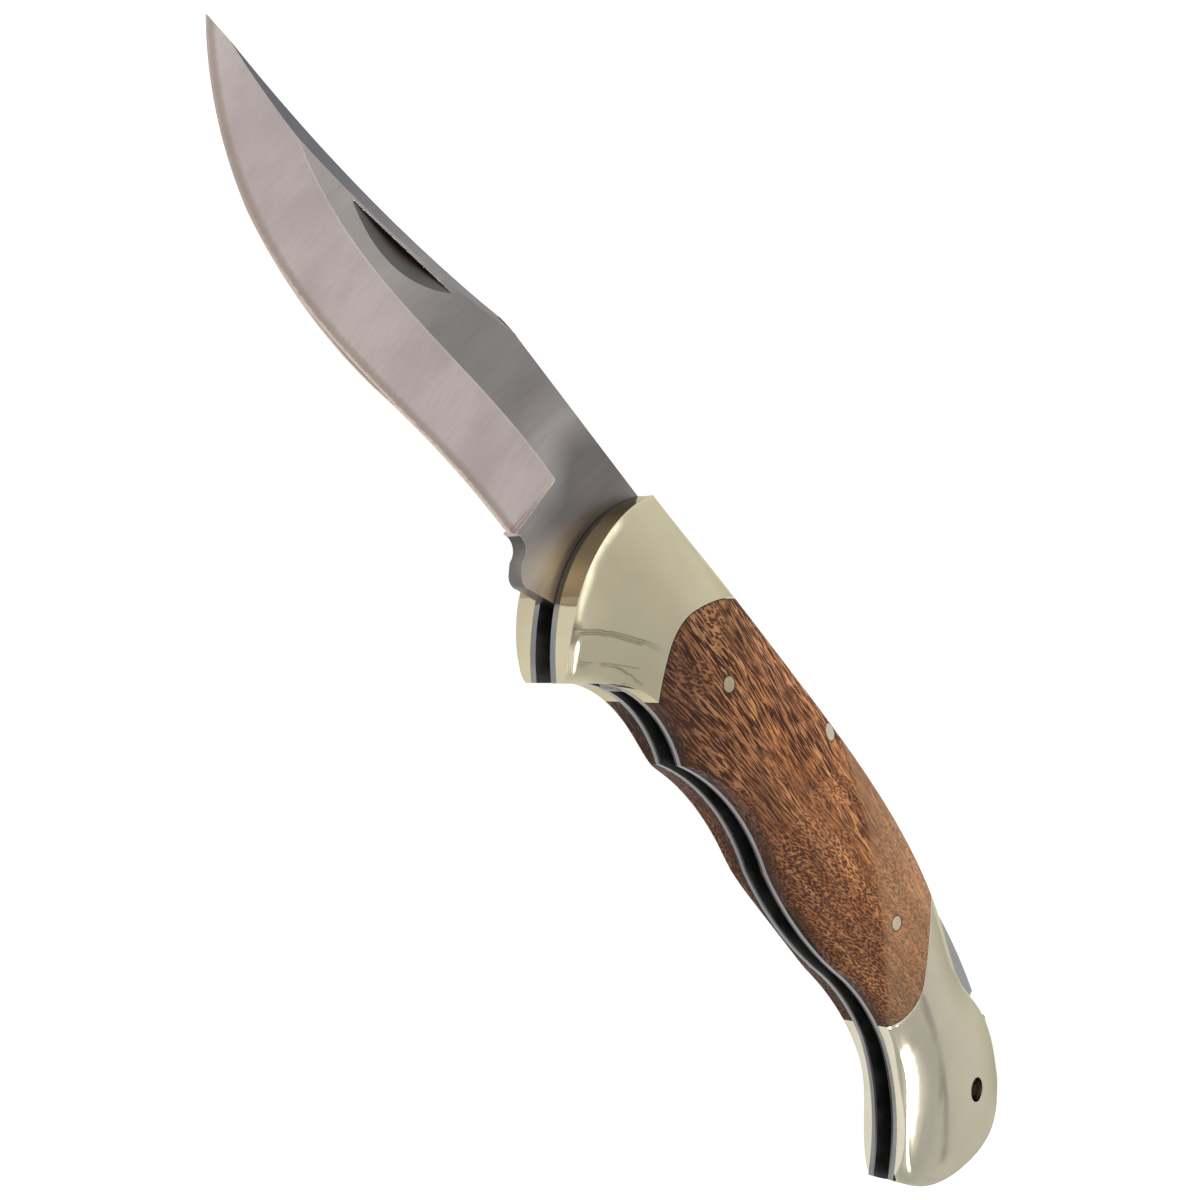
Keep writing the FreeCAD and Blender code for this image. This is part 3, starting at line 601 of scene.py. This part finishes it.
def bevel_tone(steel, spot, shade):
    """A painted highlight on the whetted strip along the cutting edge, painted shade on its shoulder, and a
    painted highlight on the line where the bevel begins.
    """
    height = steel.height(spot)
    ripple = steel.noise(steel.cells(spot, RIPPLE_CELL), detail=2.0)
    waved = steel.math("ADD", height, steel.fade(ripple, *DRIFT_SPAN, -RIPPLE, RIPPLE))
    bright = steel.fade(steel.axis(spot, "X"), *WHETTED_ALONG)
    whetted = steel.math("MULTIPLY", steel.fade(waved, *WHETTED), bright)
    shade = steel.mix(steel.fade(waved, *SHOULDER), shade, SHOULDER_SHADE_COLOR)
    shade = steel.mix(whetted, shade, WHETTED_HIGHLIGHT_COLOR)
    return steel.mix(steel.fade(height, *BEVEL_TOP), shade, BEVEL_TOP_HIGHLIGHT_COLOR)


def flat_tone(steel, spot, shade):
    """Broad lighter and darker fields along the flat, and a painted highlight as a pale patch low on the
    ricasso.
    """
    along = steel.drifting(steel.axis(spot, "X"), spot, FLAT_DRIFT_CELL, FLAT_DRIFT)
    place = steel.fade(along, *FLAT_SPAN, kind="LINEAR")
    shade = steel.tinted(shade, steel.ramp(place, FLAT_FIELDS))
    low = steel.fade(steel.axis(spot, "Y"), *PATCH_RISE)
    patch = steel.math("MULTIPLY", steel.fade(along, *PATCH_ALONG), low)
    return steel.mix(steel.math("MULTIPLY", patch, PATCH_HIGHLIGHT_SHARE), shade, PATCH_HIGHLIGHT_COLOR)


def swedge_tone(steel, spot, shade):
    """The swedge grows paler away from the point."""
    place = steel.fade(steel.axis(spot, "X"), *SWEDGE_SPAN)
    return steel.tinted(shade, steel.ramp(place, SWEDGE_TONES))


def choil_tone(steel, spot, shade):
    """The hollow of the choil lies in shade, and the kick behind it is paler."""
    place = steel.fade(steel.axis(spot, "X"), *CHOIL_SPAN)
    return steel.tinted(shade, steel.ramp(place, CHOIL_TONES))


def liner_tone(steel, spot, shade):
    """Along the belly, painted shade darkens the edge of a liner towards the slot."""
    inner = steel.fade(steel.height(spot), *SLOT_SHADE_HEIGHTS)
    along = steel.axis(spot, "X")
    belly = steel.math("MULTIPLY", steel.fade(along, *SLOT_SHADE_FRONT), steel.fade(along, *SLOT_SHADE_REAR))
    return steel.mix(steel.math("MULTIPLY", inner, belly), shade, SLOT_SHADE_COLOR)


def nick_steel(name):
    """The nail nick: cross-ground steel with painted shade, darker towards its deep side."""
    steel = Shader(name)
    spot = steel.spot()
    cloud, coarse, fine = steel_marks(steel, spot, NICK_TURN)
    deep = steel.fade(steel.height(spot), *NICK_HEIGHTS)
    shade = steel.ramp(deep, NICK_SHADE_COLORS)
    steel.set(
        Base_Color=steel.mix(steel.fade(cloud, *CLOUD_SPAN, 0.0, NICK_CLOUD_SHARE), shade, NICK_CLOUD),
        Metallic=1.0,
        Roughness=steel.fade(fine, *CLOUD_SPAN, *NICK_ROUGHNESS),
        Normal=steel.bump(steel.math("ADD", fine, coarse), NICK_DEPTH, strength=NICK_STRENGTH),
    )
    return steel.material


def slot_shade_steel(name):
    """Insides of the slot: oiled steel, painted near black as shade."""
    steel = Shader(name)
    spot = steel.spot()
    stain = steel.noise(steel.cells(spot, DULL_CELL), detail=4.0)
    lines = steel.noise(steel.cells(spot, DULL_LINE_CELL), detail=2.0)
    steel.set(
        Base_Color=steel.ramp(stain, DULL_SHADE_COLORS),
        Metallic=DULL_METALLIC,
        Roughness=steel.fade(stain, *CLOUD_SPAN, *DULL_ROUGHNESS),
        Normal=steel.bump(lines, DULL_LINE_DEPTH),
    )
    return steel.material


def pin_metal(name, color, tint):
    """Flush ground pin ends with fine crossing scratches and a darker rim."""
    metal = Shader(name)
    spot = metal.spot()
    share = metal.add("ShaderNodeTexCoord").outputs["Generated"]
    flat = metal.vector("MULTIPLY", share, FLATTEN)
    rim = metal.fade(metal.vector("DISTANCE", flat, PIN_MIDDLE, output="Value"), *PIN_RIM)
    scratch = metal.noise(metal.cells(spot, PIN_SCRATCH_CELL, PIN_SCRATCH_TURN), detail=2.0)
    cross = metal.noise(metal.cells(spot, PIN_CROSS_CELL, PIN_CROSS_TURN), detail=2.0)
    cloud = metal.noise(metal.cells(spot, PIN_CLOUD_CELL))
    lines = metal.math("ADD", scratch, cross)
    shade = metal.mix(metal.fade(cloud, *CLOUD_SPAN), color, tint)
    metal.set(
        Base_Color=metal.mix(metal.math("MULTIPLY", rim, PIN_RIM_SHARE), shade, PIN_RIM_COLOR),
        Metallic=1.0,
        Roughness=metal.fade(lines, *PIN_ROUGHNESS),
        Normal=metal.bump(lines, PIN_SCRATCH_DEPTH),
    )
    return metal.material


# Materials on the pieces

# Faces of the blade: limits of their normals and places that tell them apart
FLAT_NORMAL = 0.9995
OUTLINE_NORMAL = 0.2
NICK_WALL_NORMAL = -0.9
NICK_WALL_LOW = 3 * MM
BACK_LOW = 4 * MM
CHOIL_FRONT = -30 * MM
PLUNGE_NORMAL = 0.15
PLUNGE_FRONT = -40 * MM
NICK_FLOOR_NORMAL = 0.955

# Faces of the liners, and of the lock bar's underside, in the same way
SIDE_NORMAL = 0.9
LINER_FRONT_NORMAL = -0.5
LINER_FRONT_LOW = -4.5 * MM
LINER_FRONT_REAR = -10 * MM
UNDERSIDE_NORMAL = -0.3


def dress(name, materials, rule=None):
    """Gives a node its materials, and each face the one that a rule on its normal and middle names."""
    mesh = nodes[name].data
    mesh.materials.clear()
    for material in materials.values():
        mesh.materials.append(material)
    if rule:
        order = list(materials)
        for face in mesh.polygons:
            face.material_index = order.index(rule(face.normal, face.center))


def blade_face(normal, center):
    """What a face of the blade is: its flats are level, and the faces of its outline stand upright."""
    if abs(normal.z) > FLAT_NORMAL:
        return "flat"
    if abs(normal.z) < OUTLINE_NORMAL:
        if normal.y < NICK_WALL_NORMAL and center.y > NICK_WALL_LOW:
            return "nick"
        if center.y > BACK_LOW:
            return "back"
        return "choil" if center.x > CHOIL_FRONT else "bevel"
    if abs(normal.x) > PLUNGE_NORMAL and center.x > PLUNGE_FRONT:
        return "plunge"
    if normal.y < 0:
        return "bevel"
    return "nick" if normal.z > NICK_FLOOR_NORMAL else "swedge"


def dress_blade():
    """Bevels, flats, swedge, nail nick, plunge lines painted as a highlight, and the outline's narrow faces.
    """
    dress("blade", {
        "bevel": satin_steel(
            "blade_bevel", color=(0.465, 0.403, 0.386), tint=(0.385, 0.334, 0.325),
            roughness=0.36, line_depth=0.004, turn=(0, 0, 96), tone=bevel_tone,
        ),
        "flat": satin_steel(
            "blade_flat", color=(0.34, 0.315, 0.307), tint=(0.295, 0.273, 0.267),
            roughness=0.33, line_depth=0.004, turn=(0, 0, 84), tone=flat_tone,
        ),
        "back": satin_steel(
            "blade_back", color=(0.4, 0.37, 0.355), tint=(0.34, 0.315, 0.305),
            roughness=0.38, line_depth=0.003,
        ),
        "swedge": satin_steel(
            "blade_swedge", color=(0.2, 0.192, 0.2), tint=(0.17, 0.165, 0.175),
            roughness=0.36, line_depth=0.004, turn=(0, 0, 80), tone=swedge_tone,
        ),
        "choil": satin_steel(
            "blade_choil", color=(0.19, 0.172, 0.16), tint=(0.085, 0.078, 0.073),
            roughness=0.32, line_depth=0.004, turn=(90, 0, 0), tone=choil_tone,
        ),
        "nick": nick_steel("nail_nick"),
        # The plunge lines: a near-white copy of the steel, a painted highlight
        "plunge": satin_steel(
            "blade_plunge_highlight", color=(1.0, 0.95, 0.92), tint=(0.9, 0.84, 0.81),
            roughness=0.3, line_depth=0.002, metallic=0.1,
        ),
    }, blade_face)


def bolster_face(normal, center):
    """What a face of a front bolster is: turned to the blade, at the guard, or the rest with the crown."""
    if normal.x > FACE_NORMAL:
        return "crown"
    return "face" if center.y > GUARD_TOP else "guard"


def dress_bolsters():
    """Polished nickel silver; the faces that meet the blade carry a painted warm reflection, darker and
    browner, and those of the guard a colour between.
    """
    front = {
        "crown": polished(
            "nickel_front", color=(0.63, 0.575, 0.41), tint=(0.595, 0.545, 0.39),
            roughness=0.03, front_round=2.6,
        ),
        # A painted warm reflection on the faces that meet the blade
        "face": polished(
            "nickel_face_painted_reflection", color=(0.42, 0.34, 0.21), tint=(0.37, 0.29, 0.175),
            roughness=0.1,
        ),
        "guard": polished(
            "nickel_guard", color=(0.55, 0.495, 0.345), tint=(0.51, 0.46, 0.32),
            roughness=0.06,
        ),
    }
    rear = polished(
        "nickel_rear", color=(0.625, 0.58, 0.46), tint=(0.59, 0.55, 0.438),
        roughness=0.11, soft=0.6,
    )
    for side in SCALE_SHIFTS:
        dress(f"front_bolster_{side}", front, bolster_face)
        dress(f"rear_bolster_{side}", {"crown": rear})


def liner_face(normal, center):
    """What a face of a liner is: a side, the front edge beside the blade, or another edge."""
    if abs(normal.z) > SIDE_NORMAL:
        return "side"
    beside_blade = center.y > LINER_FRONT_LOW and center.x < LINER_FRONT_REAR
    return "front" if normal.x < LINER_FRONT_NORMAL and beside_blade else "edge"


def lock_bar_face(normal, center):
    """The lock bar has painted shade on its underside."""
    return "under" if normal.y < UNDERSIDE_NORMAL else "top"


def dress_handle():
    """Wood, liners, pins, lock bar and the pieces inside."""
    plain = {
        "color": (0.26, 0.256, 0.256),
        "tint": (0.19, 0.187, 0.187),
        "roughness": 0.3,
        "line_depth": 0.002,
    }
    inside = slot_shade_steel("slot_inside")
    liner = {
        "edge": satin_steel("liner_edge", **plain, tone=liner_tone),
        "side": inside,
        # The front edge beside the blade, painted dark as shade
        "front": satin_steel(
            "liner_front_shade", color=(0.13, 0.11, 0.09), tint=(0.08, 0.068, 0.058),
            roughness=0.35, line_depth=0.002,
        ),
    }
    bar = satin_steel(
        "spring_steel", color=(0.42, 0.41, 0.42), tint=(0.36, 0.352, 0.365),
        roughness=0.3, line_depth=0.002,
    )
    # The front rivets: a darker copy of the pin metal, painted shade for how they face the light
    rivet = pin_metal("rivet_metal", color=(0.49, 0.42, 0.29), tint=(0.41, 0.35, 0.24))
    pin = pin_metal("pin_metal", color=(0.66, 0.57, 0.41), tint=(0.56, 0.48, 0.34))
    for side, shift in SCALE_SHIFTS.items():
        front_rivet = f"front_scale_rivet_{side}"
        rear_rivet = f"rear_scale_rivet_{side}"
        wood = hardwood(f"hardwood_{side}", (front_rivet, rear_rivet, "lock_bar_pin"), shift)
        dress(f"scale_{side}", {"wood": wood})
        dress(f"liner_{side}", liner, liner_face)
        dress(front_rivet, {"end": rivet})
        dress(rear_rivet, {"end": pin})
    dress("lock_bar", {"top": bar, "under": inside}, lock_bar_face)
    dress("lock_bar_pin", {"end": pin})
    for name in ("pivot_pin", "upper_spacer_pin", "lower_spacer_pin", "lock_spring"):
        dress(name, {"all": bar})
    dress("butt_spacer", {"all": satin_steel("spacer_steel", **plain)})


# Studio

# The camera's place and its own axes, its lens and sensor in millimetres, the nearest that it sees,
# and the picture's pixels each way
CAMERA_PLACE = Vector((-127.94, -113.01, 167.85)) * MM
CAMERA_RIGHT = Vector((0.5133, 0.4864, 0.7070))
CAMERA_UP = Vector((-0.6998, 0.7141, 0.0167))
CAMERA_BACK = Vector((-0.4968, -0.5034, 0.7070))
LENS = 55.74
SENSOR = 36.0
NEAREST = 10 * MM
PICTURE = 1200

# Half the floor's side, its paper's tooth and the light it gives
FLOOR_REACH = 4.0
FLOOR_CELL = (1.5, 1.5, 1.5)
FLOOR_TONES = ((0.3, grey(0.115)), (0.7, grey(0.125)))
FLOOR_ROUGHNESS = 0.9
FLOOR_SPECULAR = 0.1
FLOOR_GLOW = 0.98
TOOTH_DEPTH = 0.02
TOOTH_STRENGTH = 0.2

# Light of the tent against the rise of the direction, and its blue against the rest
TENT_LEVELS = (
    (0.0, 0.75),
    (0.15, 0.84),
    (0.33, 0.9),
    (0.47, 0.84),
    (0.6, 0.79),
    (0.72, 0.68),
    (0.8, 0.69),
    (0.9, 1.0),
)
TENT_BLUE = 0.985

# Over this span of the direction's y, the tent goes from one share of that light to another
TENT_SIDE = (0.0, 0.7, 0.9, 1.05)

# The tent's opening round the camera: its outer and inner angle in degrees, and its colour
OPENING_ANGLES = (11, 5)
OPENING_COLOR = (0.06, 0.035, 0.025)

# Seams and folds of the tent that the bolsters mirror, how far away they are and how their tone
# varies. Each has the bolster, its tone, and in pixels of the picture the width of a thread, the
# threads' places beside the line and the line that it is seen along.
TENT_FAR = 500 * MM
SEAM_CELL = (20, 20, 20)
SEAM_SHADES = ((0.3, 0.85), (0.7, 1.15))
TENT_SEAMS = {
    "seam_lower": {
        "node": "front_bolster_left",
        "tone": 0.25,
        "width": 1.5,
        "threads": (-2.0, 0.4, 2.6),
        "line": ((571, 634), (585, 632), (600, 632), (620, 636), (638, 641), (652, 646)),
    },
    "seam_low": {
        "node": "front_bolster_left",
        "tone": 0.25,
        "width": 1.8,
        "threads": (0.0,),
        "line": ((572, 663), (590, 663), (610, 666), (626, 673), (636, 681), (643, 686)),
    },
    "rear_fold": {
        "node": "rear_bolster_left",
        "tone": 0.3,
        "width": 4.0,
        "threads": (0.0,),
        "line": ((921, 1003), (931, 1028), (941, 1060), (946, 1097), (946, 1131), (942, 1162)),
    },
}

# Softboxes: the direction they shine from, their distance and size in metres, their power, and
# whether polished metal mirrors them
LIGHTS = {
    "top": {"toward": (-0.4, 0.02, 0.92), "distance": 1.0, "size": (0.5, 0.5), "watts": 1.8},
    "strip": {"toward": (0.45, -0.1, 0.89), "distance": 0.9, "size": (0.07, 0.32), "watts": 2.2},
    "rim": {"toward": (-0.65, 0.42, 0.55), "distance": 1.0, "size": (1.0, 0.4), "watts": 3.2},
    "fill": {
        "toward": (-0.2, 0.1, 1.0),
        "distance": 1.5,
        "size": (2.5, 2.5),
        "watts": 16.0,
        "glossy": False,
    },
}


def place_new(name, data):
    """A new object of the scene."""
    thing = bpy.data.objects.new(name, data)
    bpy.context.scene.collection.objects.link(thing)
    return thing


def make_camera():
    """The camera at the photograph's viewing angle."""
    data = bpy.data.cameras.new("camera")
    data.lens = LENS
    data.sensor_width = SENSOR
    data.clip_start = NEAREST
    camera = place_new("camera", data)
    turn = Matrix((CAMERA_RIGHT, CAMERA_UP, CAMERA_BACK)).transposed()
    camera.matrix_world = Matrix.Translation(CAMERA_PLACE) @ turn.normalized().to_4x4()
    bpy.context.scene.camera = camera


def make_floor():
    """A large pale sheet with the faintest tooth, lit a little from below as on a light table."""
    mesh = bpy.data.meshes.new("floor")
    corners = [(x * FLOOR_REACH, y * FLOOR_REACH, 0) for x, y in ((-1, -1), (1, -1), (1, 1), (-1, 1))]
    mesh.from_pydata(corners, [], [(0, 1, 2, 3)])
    paper = Shader("floor_paper")
    tooth = paper.noise(paper.cells(paper.spot(), FLOOR_CELL), detail=4.0)
    paper.set(
        Base_Color=paper.ramp(tooth, FLOOR_TONES),
        Roughness=FLOOR_ROUGHNESS,
        Specular_IOR_Level=FLOOR_SPECULAR,
        Emission_Color=(1, 1, 1, 1),
        Emission_Strength=FLOOR_GLOW,
        Normal=paper.bump(tooth, TOOTH_DEPTH, strength=TOOTH_STRENGTH),
    )
    mesh.materials.append(paper.material)
    floor = place_new("floor", mesh)


def make_world():
    """A light tent, brightest overhead, with the dark opening for the camera."""
    world = bpy.data.worlds.new("tent")
    world.use_nodes = True
    tent = Nodes(world.node_tree)
    toward = tent.add("ShaderNodeTexCoord").outputs["Generated"]
    stops = [(rise, (level, level, level * TENT_BLUE)) for rise, level in TENT_LEVELS]
    cloth = tent.ramp(tent.axis(toward, "Z"), stops)
    side = tent.fade(tent.axis(toward, "Y"), *TENT_SIDE, kind="LINEAR")
    near = tent.vector("DOT_PRODUCT", toward, CAMERA_BACK, output="Value")
    hole = tent.fade(near, *(math.cos(math.radians(angle)) for angle in OPENING_ANGLES))
    color = tent.mix(hole, tent.vector("MULTIPLY", cloth, side), OPENING_COLOR)
    tent.feed(tent.tree.nodes["Background"].inputs["Color"], color)
    bpy.context.scene.world = world


def mirrored_place(mesh, tree, pixel):
    """The place in the tent that a pixel of the picture shows, mirrored by a mesh."""
    aside, down = (Vector(pixel) - Vector((PICTURE, PICTURE)) / 2) * SENSOR / (LENS * PICTURE)
    sight = (CAMERA_RIGHT * aside - CAMERA_UP * down - CAMERA_BACK).normalized()
    spot, _, number, _ = tree.ray_cast(CAMERA_PLACE, sight)
    if spot is None:
        return None
    face = mesh.polygons[number]
    corners = [mesh.vertices[vertex].co for vertex in face.vertices]
    normals = [mesh.corner_normals[corner].vector for corner in face.loop_indices]
    normal = barycentric_transform(spot, *corners, *normals).normalized()
    return spot + sight.reflect(normal) * TENT_FAR


def seam_strip(mirror, line, low, high):
    """Pairs of places in the tent, mirrored from beside a line of pixels at two distances from it."""
    tree = BVHTree.FromPolygons([v.co for v in mirror.vertices], [f.vertices for f in mirror.polygons])
    pairs = []
    for index, pixel in enumerate(line):
        ahead = Vector(line[min(index + 1, len(line) - 1)]) - Vector(line[max(index - 1, 0)])
        beside = ahead.orthogonal().normalized()
        pair = [mirrored_place(mirror, tree, Vector(pixel) + beside * away) for away in (low, high)]
        if None not in pair:
            pairs.append(pair)
    return pairs


def make_seam(name, node, tone, width, threads, line):
    """A seam of the tent, seen only as a reflection: thin dark strips beside each other."""
    verts = []
    faces = []
    for middle in threads:
        strip = seam_strip(nodes[node].data, line, middle - width / 2, middle + width / 2)
        for index, pair in enumerate(strip):
            verts += pair
            if index:
                last = len(verts)
                faces.append((last - 4, last - 3, last - 1, last - 2))
    mesh = bpy.data.meshes.new(name)
    mesh.from_pydata(verts, [], faces)
    thread = Shader(name)
    shade = thread.noise(thread.cells(thread.spot(), SEAM_CELL), detail=2.0)
    tones = [(place, grey(tone * share)) for place, share in SEAM_SHADES]
    thread.set(Base_Color=thread.ramp(shade, tones), Roughness=1.0)
    mesh.materials.append(thread.material)
    seam = place_new(name, mesh)
    seam.visible_camera = False
    seam.visible_diffuse = False
    seam.visible_shadow = False


def make_light(name, toward, distance, size, watts, glossy=True):
    """A softbox that faces the knife from a direction."""
    data = bpy.data.lights.new(name, "AREA")
    data.shape = "RECTANGLE"
    data.size, data.size_y = size
    data.energy = watts
    light = place_new(name, data)
    direction = Vector(toward).normalized()
    light.location = direction * distance
    light.rotation_mode = "QUATERNION"
    light.rotation_quaternion = direction.to_track_quat("Z", "Y")
    light.visible_glossy = glossy


def make_studio():
    """Camera, floor, light tent and softboxes."""
    make_camera()
    make_floor()
    make_world()
    for name, seam in TENT_SEAMS.items():
        make_seam(name, **seam)
    for name, light in LIGHTS.items():
        make_light(name, **light)
    bpy.context.scene.view_settings.view_transform = "Standard"


dress_blade()
dress_bolsters()
dress_handle()
make_studio()
